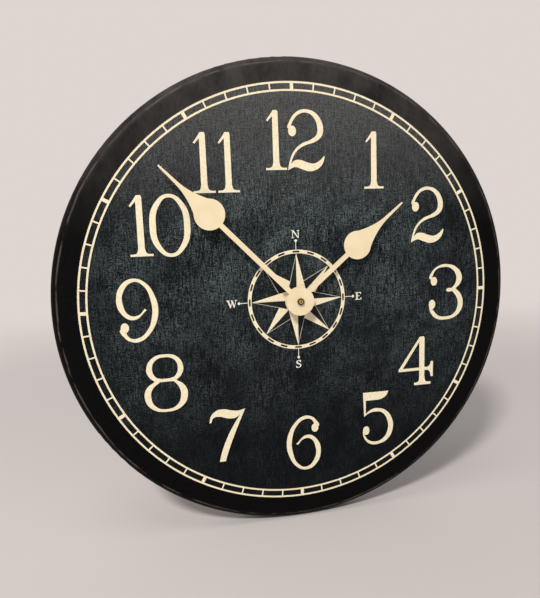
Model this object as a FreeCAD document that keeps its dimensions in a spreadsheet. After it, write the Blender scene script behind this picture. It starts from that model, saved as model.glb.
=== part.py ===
import FreeCAD, Part
import os
import re
import Sketcher

# A 12 inch wall clock: a round painted board, two spade hands, and a quartz movement let into the back.
# Every piece is drawn as it is seen from the front: x to the right, y up, and z towards the viewer.
# z = 0 is the dial face. The same placement then stands each piece up, so that the dial faces -Y.

os.makedirs("parts", exist_ok=True)
doc = FreeCAD.newDocument("wall_clock")
Vector = FreeCAD.Vector

# ---------------------------------------------------------------- sizes, in millimetres and degrees
SIZES = [
    ("board_radius", "152.4", "12 inch board"),
    ("board_thick", "12.7", "half inch board"),
    ("front_round", "5.5", "rounded front edge"),
    ("rear_break", "0.8", "small chamfer on the rear edge"),
    ("web", "4", "board left in front of the movement"),
    ("spindle_hole", "=bush_radius + 0.35", "radius of the hole for the threaded bush"),
    ("recess_side", "=case_side + 4", "square recess for the movement"),
    ("recess_corner", "5", "corner radius of the recess"),
    ("gasket_thick", "0.8", "rubber gasket"),
    ("gasket_radius", "13", "rubber gasket"),
    # movement case
    ("case_side", "56", "movement case, square"),
    ("case_corner", "4", "corner radius"),
    ("case_depth", "16", "front face to rear cover"),
    ("case_wall", "1.1", "side walls"),
    ("face_wall", "1.2", "front wall and rear cover"),
    ("bay_roof", "-12.2", "top of the battery bay"),
    ("train_floor", "-11.2", "bottom of the gear room"),
    ("case_front", "=-web - gasket_thick", "level of the case's front face"),
    ("room_front", "=case_front - face_wall", "inside of the front wall"),
    ("case_rear", "=case_front - case_depth", "level of the rear cover's outside"),
    ("cover_in", "=case_rear + face_wall", "inside of the rear cover"),
    ("room_half", "=case_side / 2 - case_wall", "half width inside"),
    ("lip", "0.3", "rebate that the rear cover sits in"),
    ("lip_gap", "0.05", "play round the rear cover"),
    ("notch_half", "8", "finger notch under the battery, half width"),
    ("notch_deep", "6", "finger notch, depth from the rear"),
    # levels of the motion work and of the train, front to back
    ("wheel_thick", "0.8", "thin plastic wheels"),
    ("hour_front", "=room_front - 0.3", "hour wheel"),
    ("hour_thick", "1.0", "hour wheel"),
    ("reduction_front", "=room_front - 1.9", "reduction wheel"),
    ("reduction_thick", "1.0", "reduction wheel"),
    ("cannon_front", "=reduction_front + 0.2", "minute pinion"),
    ("cannon_thick", "1.4", "minute pinion"),
    ("plate_front", "=room_front - 3.6", "middle plate"),
    ("plate_thick", "1.0", "middle plate"),
    ("plate_rear", "=plate_front - plate_thick", "back of the middle plate"),
    ("rim_front", "=plate_rear - 0.4", "clutch wheel on the minute arbor"),
    ("third_front", "=plate_rear - 1.8", "third wheel"),
    ("second_front", "=plate_rear - 3.2", "seconds wheel"),
    ("first_front", "=plate_rear - 4.6", "intermediate wheel"),
    ("boss_front", "=plate_rear - 6.4", "rear bearing bosses"),
    # gear teeth
    ("tooth_share", "0.36", "tooth width as a share of the pitch"),
    ("tip_high", "0.7", "addendum, in modules"),
    ("root_deep", "1.0", "dedendum, in modules"),
    ("flank", "14", "slope of the tooth flank"),
    ("module_first", "0.30", "rotor and intermediate wheel"),
    ("module_second", "0.34", "intermediate pinion and seconds wheel"),
    ("module_third", "0.344", "seconds pinion and third wheel"),
    ("module_rim", "0.26", "third pinion and clutch wheel"),
    ("module_cannon", "0.5", "minute pinion, reduction wheel and setting pinion"),
    ("module_hour", "0.48", "reduction pinion and hour wheel"),
    ("rotor_teeth", "10", "rotor pinion"),
    ("first_teeth", "60", "intermediate wheel"),
    ("first_leaves", "12", "intermediate pinion"),
    ("second_teeth", "60", "seconds wheel"),
    ("second_leaves", "8", "seconds pinion"),
    ("third_teeth", "60", "third wheel"),
    ("third_leaves", "10", "third pinion"),
    ("rim_teeth", "80", "clutch wheel"),
    ("cannon_leaves", "12", "minute pinion"),
    ("reduction_teeth", "36", "reduction wheel"),
    ("reduction_leaves", "10", "reduction pinion"),
    ("hour_teeth", "40", "hour wheel"),
    ("setting_leaves", "12", "setting pinion"),
    # where the axes stand round the spindle
    ("first_way", "150", "direction from the spindle to the intermediate wheel"),
    ("rotor_way", "110", "direction from the intermediate wheel to the rotor"),
    ("third_way", "0", "direction from the spindle to the third wheel"),
    ("reduction_way", "45", "direction from the spindle to the reduction wheel"),
    ("setting_way", "17", "direction from the reduction wheel to the setting knob"),
    ("first_far", "=module_second * (first_leaves + second_teeth) / 2", "centre distance"),
    ("rotor_far", "=module_first * (rotor_teeth + first_teeth) / 2", "centre distance"),
    ("third_far", "=module_rim * (third_leaves + rim_teeth) / 2", "centre distance"),
    ("reduction_far", "=module_cannon * (cannon_leaves + reduction_teeth) / 2", "centre distance"),
    ("first_x", "=first_far * cos(first_way * 1 deg)", "intermediate wheel"),
    ("first_y", "=first_far * sin(first_way * 1 deg)", "intermediate wheel"),
    ("rotor_x", "=first_x + rotor_far * cos(rotor_way * 1 deg)", "rotor"),
    ("rotor_y", "=first_y + rotor_far * sin(rotor_way * 1 deg)", "rotor"),
    ("third_x", "=third_far * cos(third_way * 1 deg)", "third wheel"),
    ("third_y", "=third_far * sin(third_way * 1 deg)", "third wheel"),
    ("reduction_x", "=reduction_far * cos(reduction_way * 1 deg)", "reduction wheel"),
    ("reduction_y", "=reduction_far * sin(reduction_way * 1 deg)", "reduction wheel"),
    ("setting_x", "=reduction_x + reduction_far * cos(setting_way * 1 deg)", "setting knob"),
    ("setting_y", "=reduction_y + reduction_far * sin(setting_way * 1 deg)", "setting knob"),
    # arbors and bearings
    ("play", "0.05", "radial play of every running fit"),
    ("pivot", "0.4", "pivot radius of the small arbors"),
    ("arbor", "0.7", "small arbors"),
    ("pivot_in", "0.7", "how far a pivot reaches into the middle plate"),
    ("pivot_out", "1.2", "how far a pivot reaches into its rear boss"),
    ("shoulder", "0.2", "end play at the shoulders"),
    ("boss_radius", "1.6", "rear bearing bosses"),
    ("second_arbor", "0.5", "steel seconds arbor"),
    ("minute_arbor", "1.6", "minute arbor, outside"),
    ("minute_seat", "1.25", "minute arbor where the minute hand sits"),
    ("hour_tube", "2.5", "hour tube, outside"),
    ("bush_radius", "3.95", "threaded bush, outside"),
    ("bush_top", "2.9", "front end of the bush"),
    ("washer_radius", "7.5", "brass washer"),
    ("washer_thick", "0.6", "brass washer"),
    ("nut_flats", "13", "hexagon nut across its flats"),
    ("nut_thick", "2", "hexagon nut"),
    ("spring_radius", "3.2", "clutch spring"),
    ("spring_thick", "0.2", "clutch spring"),
    ("setting_arbor", "1.0", "setting arbor"),
    ("setting_head", "5", "setting knob"),
    ("setting_thick", "1.2", "setting knob"),
    # hands
    ("hour_level", "4.4", "back of the hour hand"),
    ("minute_level", "7.8", "back of the minute hand"),
    ("hand_thick", "0.5", "sheet metal hands"),
    ("hand_hub", "9.1", "round hub of both hands"),
    ("hand_arm", "1.6", "half width of the arm"),
    ("hour_time", "49.8", "where the hour hand points, clockwise from twelve"),
    ("minute_time", "-44.3", "where the minute hand points"),
    ("hour_bulb_at", "52.9", "centre of the round part"),
    ("hour_bulb", "9.25", "radius of the round part"),
    ("minute_bulb_at", "79.2", "centre of the round part"),
    ("minute_bulb", "9.5", "radius of the round part"),
    ("cheek_far", "3.4", "spade point: where the flank leaves the round part"),
    ("cheek_half", "8.5", "half width there"),
    ("cheek_bow", "50", "radius of the hollow flank"),
    ("neck_far", "17", "spade point: end of the hollow flank"),
    ("neck_half", "2.55", "half width there"),
    ("neck_bow", "42", "radius of the second hollow"),
    ("needle_far", "26", "start of the fine point"),
    ("needle_half", "1.05", "half width there"),
    ("point_far", "41", "end of the hand past the bulb's centre"),
    ("point_half", "0.55", "half width of the blunt point"),
    ("collar_high", "1.3", "brass collars behind the hands"),
    ("hour_collar", "3.6", "collar radius"),
    ("minute_collar", "3.2", "collar radius"),
    ("hand_nut", "2.2", "hand nut radius"),
    ("hand_nut_high", "1.6", "hand nut"),
    ("tip_out", "0.5", "seconds arbor past the hand nut"),
    # motor and circuit
    ("magnet_radius", "2.8", "rotor magnet"),
    ("magnet_front", "=plate_rear - 1.6", "rotor magnet"),
    ("magnet_high", "2.6", "rotor magnet"),
    ("stator_front", "=plate_rear - 2.5", "stator"),
    ("stator_thick", "1.0", "stator and core"),
    ("stator_ring", "5.6", "stator round the rotor"),
    ("stator_bore", "3.3", "hole for the magnet"),
    ("leg_low", "14.4", "long leg of the stator"),
    ("leg_high", "16.6", "long leg of the stator"),
    ("core_low", "20.2", "coil core"),
    ("core_high", "22.6", "coil core"),
    ("core_left", "-20", "coil core"),
    ("core_right", "25.5", "coil core"),
    ("riser", "2.5", "width of the stator's risers"),
    ("coil_left", "-7", "coil bobbin"),
    ("coil_right", "20", "coil bobbin"),
    ("flange_radius", "3.9", "coil bobbin"),
    ("flange_thick", "1", "coil bobbin"),
    ("spool_radius", "1.9", "coil bobbin"),
    ("winding_radius", "3.55", "copper winding"),
    ("board_front", "=boss_front + 0.2", "circuit board"),
    ("board_sheet", "0.8", "circuit board"),
    ("circuit_left", "-26.2", "circuit board"),
    ("circuit_right", "-16.5", "circuit board"),
    ("circuit_low", "-10.6", "circuit board"),
    ("circuit_high", "10", "circuit board"),
    ("chip_radius", "3", "sealed chip"),
    ("crystal_radius", "1", "crystal can"),
    ("crystal_long", "6", "crystal can"),
    # battery, AA size
    ("cell_radius", "7.1", "battery"),
    ("cell_long", "49", "battery without its button"),
    ("cell_gap", "0.3", "play round the battery"),
    ("cell_left", "-24.9", "flat end of the battery"),
    ("button_radius", "2.75", "battery button"),
    ("button_high", "1.5", "battery button"),
    ("cell_y", "=bay_roof - cell_gap - cell_radius", "battery axis"),
    ("cell_level", "=room_front - cell_gap - cell_radius", "battery axis"),
    ("strip", "0.4", "contact strip"),
    # hanging
    ("hang_y", "118", "nail hole above the spindle"),
    ("strap_wide", "56", "hanger strap"),
    ("strap_high", "14", "hanger strap"),
    ("strap_thick", "1.6", "hanger strap"),
    ("nail_hole", "3", "radius of the nail hole"),
    ("nail_pocket", "9", "pocket behind the nail hole, radius"),
    ("nail_deep", "7", "pocket behind the nail hole, depth"),
    ("screw_span", "42", "distance between the strap's screws"),
    ("screw_shank", "1.4", "wood screws"),
    ("screw_head", "3", "wood screws"),
    ("screw_head_high", "1.8", "wood screws"),
    ("screw_long", "8", "wood screws"),
    ("bumper_radius", "6", "rubber bumpers"),
    ("bumper_high", "10", "rubber bumpers"),
    ("bumper_far", "94", "bumpers from the vertical and level centre lines"),
    # the whole clock: the origin is the middle of its bounding box
    ("front_reach", "=minute_level + hand_thick + hand_nut_high + tip_out", "foremost point"),
    ("rear_reach", "=board_thick + bumper_high", "plane of the wall"),
    ("face_at", "=(front_reach - rear_reach) / 2", "dial face in the row frame, along Y"),
]

sheet = doc.addObject("Spreadsheet::Sheet", "Sizes")
for row, (alias, value, note) in enumerate(SIZES, 1):
    sheet.set("A%d" % row, alias)
    sheet.set("B%d" % row, value)
    sheet.setAlias("B%d" % row, alias)
    sheet.set("C%d" % row, note)
doc.recompute()
NAMES = set(alias for alias, value, note in SIZES)


def bound(text):
    """An expression in which every size is read from the sheet."""
    return re.sub(r"[a-z_]+", lambda m: "Sizes." + m.group() if m.group() in NAMES else m.group(), text)


def number(text):
    """The value of an expression now."""
    value = sheet.evalExpression(text)
    return float(getattr(value, "Value", value))


# ---------------------------------------------------------------- building blocks
def stand(item, x="0", y="0", rotation=None, level=None):
    """Stand a piece up at x, y of the front view; z = 0 of the piece is the dial face, or its own level."""
    turn = rotation or FreeCAD.Rotation(Vector(1, 0, 0), 90)
    item.Placement = FreeCAD.Placement(Vector(0, 0, 0), turn)
    item.setExpression("Placement.Base.x", bound(x))
    item.setExpression("Placement.Base.y", bound("face_at - (%s)" % (level or "0")))
    item.setExpression("Placement.Base.z", bound(y))
    return item


def new_body(name, x="0", y="0"):
    body = doc.addObject("PartDesign::Body", name)
    body.Label = name
    return stand(body, x, y)


def role(body, wanted):
    return [f for f in body.Origin.OriginFeatures if f.Role == wanted][0]


def new_sketch(body, level, turn="0"):
    sketch = body.newObject("Sketcher::SketchObject", body.Name + "_sketch")
    sketch.AttachmentSupport = [(role(body, "XY_Plane"), "")]
    sketch.MapMode = "FlatFace"
    sketch.setExpression("AttachmentOffset.Base.z", bound(level))
    if turn != "0":
        sketch.setExpression("AttachmentOffset.Rotation.Angle", bound(turn))
    return sketch


def size(sketch, constraint, text):
    index = sketch.addConstraint(constraint)
    sketch.setExpression("Constraints[%d]" % index, bound(text))


def pin_point(sketch, curve, end, x, y):
    """Hold one point of a curve at x, y."""
    for text, kind, axis in ((x, "DistanceX", -2), (y, "DistanceY", -1)):
        if text == "0":
            sketch.addConstraint(Sketcher.Constraint("PointOnObject", curve, end, axis))
        else:
            size(sketch, Sketcher.Constraint(kind, -1, 1, curve, end, number(text)), text)


def circle(sketch, radius, x="0", y="0"):
    middle = Vector(number(x), number(y), 0)
    curve = sketch.addGeometry(Part.Circle(middle, Vector(0, 0, 1), number(radius)))
    pin_point(sketch, curve, 3, x, y)
    size(sketch, Sketcher.Constraint("Radius", curve, number(radius)), radius)


def outline(sketch, corners):
    """A closed outline. A corner with a third entry is reached by an arc of that radius, hollow side left."""
    points = [Vector(number(c[0]), number(c[1]), 0) for c in corners]
    curves = []
    for i, start in enumerate(points):
        goal = points[(i + 1) % len(points)]
        bow = corners[(i + 1) % len(corners)][2:]
        if bow:
            chord = goal - start
            radius = number(bow[0])
            sag = abs(radius) - (radius ** 2 - (chord.Length / 2) ** 2) ** 0.5
            side = Vector(-chord.y, chord.x, 0).normalize() * sag * (1 if radius > 0 else -1)
            middle = (start + goal) * 0.5 + side
            arc = Part.Arc(start, middle, goal)
            curve = sketch.addGeometry(arc)
            begins = sketch.getPoint(curve, 1).distanceToPoint(start) < 1e-6
            curves.append((curve, 1 if begins else 2, 2 if begins else 1, bow[0].lstrip("-")))
        else:
            curves.append((sketch.addGeometry(Part.LineSegment(start, goal)), 1, 2, None))
    for i, (curve, begin, finish, bow) in enumerate(curves):
        after = curves[(i + 1) % len(curves)]
        sketch.addConstraint(Sketcher.Constraint("Coincident", curve, finish, after[0], after[1]))
    for (curve, begin, finish, bow), corner in zip(curves, corners):
        pin_point(sketch, curve, begin, corner[0], corner[1])
        if bow:
            size(sketch, Sketcher.Constraint("Radius", curve, number(bow)), bow)


def rectangle(sketch, left, right, low, high):
    outline(sketch, [(left, low), (right, low), (right, high), (left, high)])


def rounded_square(sketch, side, corner):
    """A square with round corners."""
    far = "%s / 2" % side
    near = "(%s / 2 - %s)" % (side, corner)
    bow = "-" + corner
    outline(sketch, [
        ("-" + near, "-" + far, bow), (near, "-" + far),
        (far, "-" + near, bow), (far, near),
        (near, far, bow), ("-" + near, far),
        ("-" + far, near, bow), ("-" + far, "-" + near)])


def feature(body, kind, sketch, depth):
    item = body.newObject("PartDesign::" + kind, body.Name + "_" + kind.lower())
    item.Profile = sketch
    item.Refine = False
    item.setExpression("Length", bound(depth))
    sketch.Visibility = False
    return item


def pad(body, low, high, draw, *sizes, turn="0"):
    """Add material from level low to level high."""
    sketch = new_sketch(body, low, turn)
    draw(sketch, *sizes)
    return feature(body, "Pad", sketch, "(%s) - (%s)" % (high, low))


def cut(body, low, high, draw, *sizes, turn="0"):
    """Take material away from level high down to level low."""
    sketch = new_sketch(body, high, turn)
    draw(sketch, *sizes)
    return feature(body, "Pocket", sketch, "(%s) - (%s)" % (high, low))


def repeat(body, source, count):
    """The same cut all the way round the piece's own axis."""
    ring = body.newObject("PartDesign::PolarPattern", body.Name + "_ring")
    ring.Originals = [source]
    ring.Axis = (role(body, "Z_Axis"), [""])
    ring.Angle = 360
    ring.Refine = False
    ring.setExpression("Occurrences", bound(count))
    body.Tip = ring
    return ring


def gap(sketch, teeth, module):
    """The space between two teeth, drawn on the x axis."""
    slope = "tan((flank + 180 / %s) * 1 deg)" % teeth
    middle = "(1 - tooth_share) * 3.14159 * %s / 2" % module
    root = "%s * (%s / 2 - root_deep)" % (module, teeth)
    over = "%s * (%s / 2 + tip_high) + 0.2" % (module, teeth)
    inner = "max(%s - root_deep * %s * %s; 0.12 * %s)" % (middle, module, slope, module)
    outer = "%s + (tip_high * %s + 0.2) * %s" % (middle, module, slope)
    corners = [(root, "-(%s)" % inner), (over, "-(%s)" % outer), (over, outer), (root, inner)]
    outline(sketch, corners)


def teeth_on(body, low, high, teeth, module, tooth_at):
    """A toothed disc from level low to level high, with a tooth at the angle tooth_at."""
    pad(body, low, high, circle, "%s * (%s / 2 + tip_high)" % (module, teeth))
    source = cut(body, low, high, gap, teeth, module, turn="(%s) + 180 / %s" % (tooth_at, teeth))
    doc.recompute()
    return repeat(body, source, teeth)


def meshed(way, teeth, tooth_at, others):
    """Where a tooth of the next wheel stands so that it meets the gaps of this one."""
    phase = "0.5 - ((%s) - (%s)) * %s / 360" % (way, tooth_at, teeth)
    return "((%s) + 180 - (%s) * 360 / %s)" % (way, phase, others)


def round_edges(body, kind, radius, wanted):
    """Fillet or chamfer the edges that wanted() picks out."""
    base = body.Tip
    doc.recompute()
    chosen = ["Edge%d" % (i + 1) for i, edge in enumerate(base.Shape.Edges) if wanted(edge)]
    item = body.newObject("PartDesign::" + kind, body.Name + "_" + kind.lower())
    item.Base = (base, chosen)
    item.setExpression("Radius" if kind == "Fillet" else "Size", bound(radius))
    body.Tip = item
    return item


def on_level(edge, level):
    box = edge.BoundBox
    return abs(box.ZMin - level) < 0.01 and abs(box.ZMax - level) < 0.01


def box(name, left, right, low, high, back, front):
    """A plain block given by its sides in the front view and its two levels."""
    item = doc.addObject("Part::Box", name)
    item.setExpression("Length", bound("(%s) - (%s)" % (right, left)))
    item.setExpression("Width", bound("(%s) - (%s)" % (high, low)))
    item.setExpression("Height", bound("(%s) - (%s)" % (front, back)))
    return stand(item, left, low, level=back)


def rod(name, radius, low, high, x="0", y="0"):
    """A plain round rod from level low to level high."""
    item = doc.addObject("Part::Cylinder", name)
    item.setExpression("Radius", bound(radius))
    item.setExpression("Height", bound("(%s) - (%s)" % (high, low)))
    return stand(item, x, y, level=low)


def cross_rod(name, radius, left, right, y, level, far_radius=None):
    """A round rod, or a cone, lying from left to right."""
    item = doc.addObject("Part::Cone" if far_radius else "Part::Cylinder", name)
    item.setExpression("Radius1" if far_radius else "Radius", bound(radius))
    if far_radius:
        item.setExpression("Radius2", bound(far_radius))
    item.setExpression("Height", bound("(%s) - (%s)" % (right, left)))
    return stand(item, left, y, FreeCAD.Rotation(Vector(0, 1, 0), 90), level)


def join(name, items):
    whole = doc.addObject("Part::MultiFuse", name)
    whole.Shapes = items
    whole.Label = name
    return whole


def take(name, base, tool):
    rest = doc.addObject("Part::Cut", name)
    rest.Base = base
    rest.Tool = tool
    rest.Label = name
    return rest


PIECES = []


def finished(item):
    PIECES.append(item)
    return item


# ---------------------------------------------------------------- the dial board
board = new_body("dial_board")
pad(board, "-board_thick", "0", circle, "board_radius")
round_edges(board, "Fillet", "front_round", lambda e: on_level(e, 0))
round_edges(board, "Chamfer", "rear_break", lambda e: on_level(e, -number("board_thick")))
cut(board, "-board_thick", "0", circle, "spindle_hole")
cut(board, "-board_thick", "-web", rounded_square, "recess_side", "recess_corner")
cut(board, "-board_thick", "nail_deep - board_thick", circle, "nail_pocket", "0", "hang_y")
for side in ("-screw_span / 2", "screw_span / 2"):
    cut(board, "-board_thick", "screw_long - board_thick", circle, "screw_shank + play", side, "hang_y")
finished(board)


# ---------------------------------------------------------------- fixings through the board
gasket = new_body("rubber_gasket")
pad(gasket, "case_front", "-web", circle, "gasket_radius")
cut(gasket, "case_front", "-web", circle, "spindle_hole")
finished(gasket)

bush = new_body("threaded_bush")
pad(bush, "room_front", "bush_top", circle, "bush_radius")
cut(bush, "room_front", "bush_top", circle, "hour_tube + play")
finished(bush)

washer = new_body("brass_washer")
pad(washer, "0", "washer_thick", circle, "washer_radius")
cut(washer, "0", "washer_thick", circle, "bush_radius + play")
finished(washer)


def hexagon(sketch, flats):
    """A hexagon by its width across the flats."""
    corner = "%s / 2 / cos(30 deg)" % flats
    half = "%s / 4 / cos(30 deg)" % flats
    flat = "%s / 2" % flats
    outline(sketch, [
        (corner, "0"), (half, flat), ("-" + half, flat),
        ("-" + corner, "0"), ("-" + half, "-" + flat), (half, "-" + flat)])


nut = new_body("mounting_nut")
pad(nut, "washer_thick", "washer_thick + nut_thick", hexagon, "nut_flats")
cut(nut, "washer_thick", "washer_thick + nut_thick", circle, "bush_radius")
finished(nut)

# ---------------------------------------------------------------- the movement case
case = new_body("movement_case")
pad(case, "case_rear", "case_front", rounded_square, "case_side", "case_corner")
cut(case, "case_rear", "room_front", rectangle, "-room_half", "room_half", "train_floor", "room_half")
cut(case, "case_rear", "room_front", rectangle, "-room_half", "room_half", "-room_half", "bay_roof")
cut(case, "case_rear", "cover_in", rectangle, "-(room_half + lip)", "room_half + lip",
    "train_floor - lip", "room_half + lip")
cut(case, "case_rear", "case_rear + notch_deep", rectangle, "-notch_half", "notch_half",
    "-(case_side / 2 + 1)", "-room_half + 0.5")
for side in (-1, 1):
    ends = ["%d * (room_half - 1)" % side, "%d * room_half" % side]
    if side < 0:
        ends.reverse()
    cut(case, "cover_in", "cover_in + 2.6", rectangle, ends[0], ends[1], "bay_roof - 0.5", "train_floor + 0.5")
POSTS = [("-(room_half - 2.6)", "room_half - 2.6"), ("room_half - 2.6", "room_half - 2.6"),
         ("-(room_half - 2.6)", "train_floor + 2.6"), ("room_half - 2.6", "train_floor + 2.6")]
for x, y in POSTS:
    pad(case, "plate_front", "room_front + 0.2", circle, "arbor * 2", x, y)
cut(case, "room_front", "case_front", circle, "bush_radius")
for x, y in (("reduction_x", "reduction_y"), ("setting_x", "setting_y")):
    cut(case, "room_front - 0.2", "case_front - 0.3", circle, "pivot + play", x, y)
finished(case)

cover = new_body("rear_cover")
gap_in = "(room_half + lip - lip_gap)"
pad(cover, "case_rear", "cover_in", rectangle, "-" + gap_in, gap_in, "train_floor - lip + lip_gap", gap_in)
AXES = {"rotor": ("rotor_x", "rotor_y"), "first": ("first_x", "first_y"),
        "third": ("third_x", "third_y"), "second": ("0", "0")}
for x, y in AXES.values():
    pad(cover, "cover_in - 0.2", "boss_front", circle, "boss_radius", x, y)
for y in ("circuit_high - 2", "circuit_low + 2"):
    pad(cover, "cover_in - 0.2", "board_front - board_sheet", circle, "1", "circuit_right - 1.5", y)
for place in ("rotor", "first", "third"):
    x, y = AXES[place]
    cut(cover, "boss_front - pivot_out - 0.3", "boss_front", circle, "pivot + play", x, y)
cut(cover, "boss_front - pivot_out - 0.3", "boss_front", circle, "second_arbor + play", "0", "0")
cut(cover, "case_rear", "cover_in", circle, "setting_arbor + play", "setting_x", "setting_y")
finished(cover)

plate = new_body("middle_plate")
plate_in = "(room_half - 0.3)"
pad(plate, "plate_rear", "plate_front", rectangle, "-" + plate_in, plate_in, "train_floor + 0.2", plate_in)
for x, y in (("core_right - riser / 2", "(leg_low + leg_high) / 2"), ("core_left + riser / 2", "rotor_y + 4")):
    pad(plate, "stator_front", "plate_rear + 0.2", circle, "1.1", x, y)
cut(plate, "plate_rear", "plate_front", circle, "minute_arbor + play")
cut(plate, "plate_rear", "plate_front", circle, "setting_arbor + 2 * play", "setting_x", "setting_y")
for x, y in (AXES["rotor"], AXES["first"], AXES["third"], ("reduction_x", "reduction_y")):
    cut(plate, "plate_rear", "plate_front", circle, "pivot + play", x, y)
finished(plate)

# ---------------------------------------------------------------- the stepping motor and its circuit
stator = new_body("stator")
low = "stator_front - stator_thick"
pad(stator, low, "stator_front", circle, "stator_ring", "rotor_x", "rotor_y")
pad(stator, low, "stator_front", rectangle, "rotor_x", "core_right", "leg_low", "leg_high")
pad(stator, low, "stator_front", rectangle, "core_right - riser", "core_right", "leg_low + 0.5", "core_high")
pad(stator, low, "stator_front", rectangle, "core_left", "core_left + riser + 1", "rotor_y", "core_high")
cut(stator, low, "stator_front", circle, "stator_bore", "rotor_x", "rotor_y")
finished(stator)

CORE = ("stator_front - 2 * stator_thick", "stator_front - stator_thick")
core = box("coil_core", "core_left", "core_right", "core_low", "core_high", *CORE)
core.Label = "coil_core"
finished(core)

COIL_Y = "(core_low + core_high) / 2"
COIL_LEVEL = "stator_front - 1.5 * stator_thick"


def coil_hole(name):
    """The square hole of the bobbin, a little larger than the core."""
    return box(name, "coil_left - 1", "coil_right + 1", "core_low - play", "core_high + play",
               CORE[0] + " - play", CORE[1] + " + play")


left_flange = cross_rod("left_flange", "flange_radius", "coil_left", "coil_left + flange_thick",
                        COIL_Y, COIL_LEVEL)
right_flange = cross_rod("right_flange", "flange_radius", "coil_right - flange_thick", "coil_right",
                         COIL_Y, COIL_LEVEL)
spool = cross_rod("spool", "spool_radius", "coil_left", "coil_right", COIL_Y, COIL_LEVEL)
finished(take("coil_bobbin", join("bobbin_solid", [left_flange, right_flange, spool]), coil_hole("bobbin_hole")))

WOUND = ("coil_left + flange_thick + play", "coil_right - flange_thick - play", COIL_Y, COIL_LEVEL)
wire = cross_rod("wire", "winding_radius", *WOUND)
inside = cross_rod("wire_inside", "spool_radius + play", *WOUND)
finished(take("coil_winding", wire, inside))

circuit = new_body("circuit_board")
pad(circuit, "board_front - board_sheet", "board_front", rectangle, "circuit_left", "circuit_right",
    "circuit_low", "circuit_high")
finished(circuit)

chip = new_body("chip_cap")
CHIP = ("board_front - board_sheet - 1.1", "board_front - board_sheet")
pad(chip, CHIP[0], CHIP[1], circle, "chip_radius", "(circuit_left + circuit_right) / 2", "circuit_high - 4.5")
round_edges(chip, "Fillet", "0.7", lambda e: on_level(e, number(CHIP[0])))
finished(chip)

crystal = rod("crystal_can", "crystal_radius", "0", "crystal_long")
stand(crystal, "(circuit_left + circuit_right) / 2", "circuit_low + 3", FreeCAD.Rotation(),
      "board_front - board_sheet - crystal_radius")
crystal.Label = "crystal_can"
finished(crystal)

# contact strips: a blade in the battery bay, a neck through the slot in its roof, a run to the circuit
BLADE = ("cell_level - 4", "cell_level + 4")
NECK = ("cover_in + 0.5", "cover_in + 2.3")
RUN = ("train_floor + 0.05", "train_floor + 0.05 + strip")
right_side = "room_half - 0.15"
blade = box("plus_blade", right_side + " - strip", right_side, "cell_y - 5", "cell_y + 5", *BLADE)
neck = box("plus_neck", right_side + " - strip", right_side, "cell_y + 4", RUN[1], NECK[0], NECK[1])
link = box("plus_link", right_side + " - strip", right_side, "cell_y + 4", "cell_y + 5", NECK[0], BLADE[1])
run = box("plus_run", "circuit_left + 4", right_side, RUN[0], RUN[1], NECK[0], "cover_in + 1.4")
tail = box("plus_tail", "circuit_left + 4", "circuit_left + 6", RUN[0], "circuit_low + 2.5",
           "board_front - board_sheet - strip", "board_front - board_sheet")
riser = box("plus_riser", "circuit_left + 4", "circuit_left + 6", RUN[0], RUN[1], NECK[0],
            "board_front - board_sheet")
dimple = cross_rod("plus_dimple", "1.6", "cell_left + cell_long + button_high + play", right_side,
                   "cell_y", "cell_level")
finished(join("contact_plus", [blade, neck, link, run, tail, riser, dimple]))

left_side = "-(room_half - 0.15)"
blade = box("minus_blade", left_side, left_side + " + strip", "cell_y - 5", "cell_y + 5", *BLADE)
link = box("minus_link", left_side, left_side + " + strip", "cell_y + 4", "cell_y + 5", NECK[0], BLADE[1])
neck = box("minus_neck", left_side, left_side + " + strip", "cell_y + 4", "circuit_low + 2.5", NECK[0], NECK[1])
tail = box("minus_tail", left_side, "circuit_left + 1.4", "circuit_low + 1", "circuit_low + 2.5",
           "board_front - board_sheet - strip", "board_front - board_sheet")
dome = cross_rod("minus_dome", "4", left_side + " + strip / 2", "cell_left - play", "cell_y", "cell_level",
                 "2.4")
finished(join("contact_minus", [blade, link, neck, tail, dome]))

# ---------------------------------------------------------------- battery
cell = new_body("battery_can")
stand(cell, "cell_left", "cell_y", FreeCAD.Rotation(Vector(0, 1, 0), 90), "cell_level")
pad(cell, "0", "cell_long", circle, "cell_radius")
round_edges(cell, "Fillet", "0.8", lambda e: on_level(e, 0) or on_level(e, number("cell_long")))
finished(cell)

button = cross_rod("battery_button", "button_radius", "cell_left + cell_long",
                   "cell_left + cell_long + button_high", "cell_y", "cell_level")
button.Label = "battery_button"
finished(button)

# ---------------------------------------------------------------- the going train
def small_arbor(body):
    """Arbor and pivots between the middle plate and the rear bosses."""
    pad(body, "boss_front + shoulder", "plate_rear - shoulder", circle, "arbor")
    pad(body, "boss_front - pivot_out", "boss_front + shoulder + 0.1", circle, "pivot")
    pad(body, "plate_rear - shoulder - 0.1", "plate_rear + pivot_in", circle, "pivot")


FIRST_TOOTH = meshed("first_way", "second_teeth", "0", "first_leaves")
ROTOR_TOOTH = meshed("rotor_way", "first_teeth", FIRST_TOOTH, "rotor_teeth")
THIRD_TOOTH = meshed("third_way", "second_leaves", "0", "third_teeth")
RIM_TOOTH = meshed("third_way + 180", "third_leaves", THIRD_TOOTH, "rim_teeth")
REDUCTION_TOOTH = meshed("reduction_way", "cannon_leaves", "0", "reduction_teeth")
HOUR_TOOTH = meshed("reduction_way + 180", "reduction_leaves", REDUCTION_TOOTH, "hour_teeth")
SETTING_TOOTH = meshed("setting_way", "reduction_teeth", REDUCTION_TOOTH, "setting_leaves")

rotor = new_body("rotor_pinion", "rotor_x", "rotor_y")
teeth_on(rotor, "first_front - 1", "first_front + 0.2", "rotor_teeth", "module_first", ROTOR_TOOTH)
small_arbor(rotor)
finished(rotor)

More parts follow.
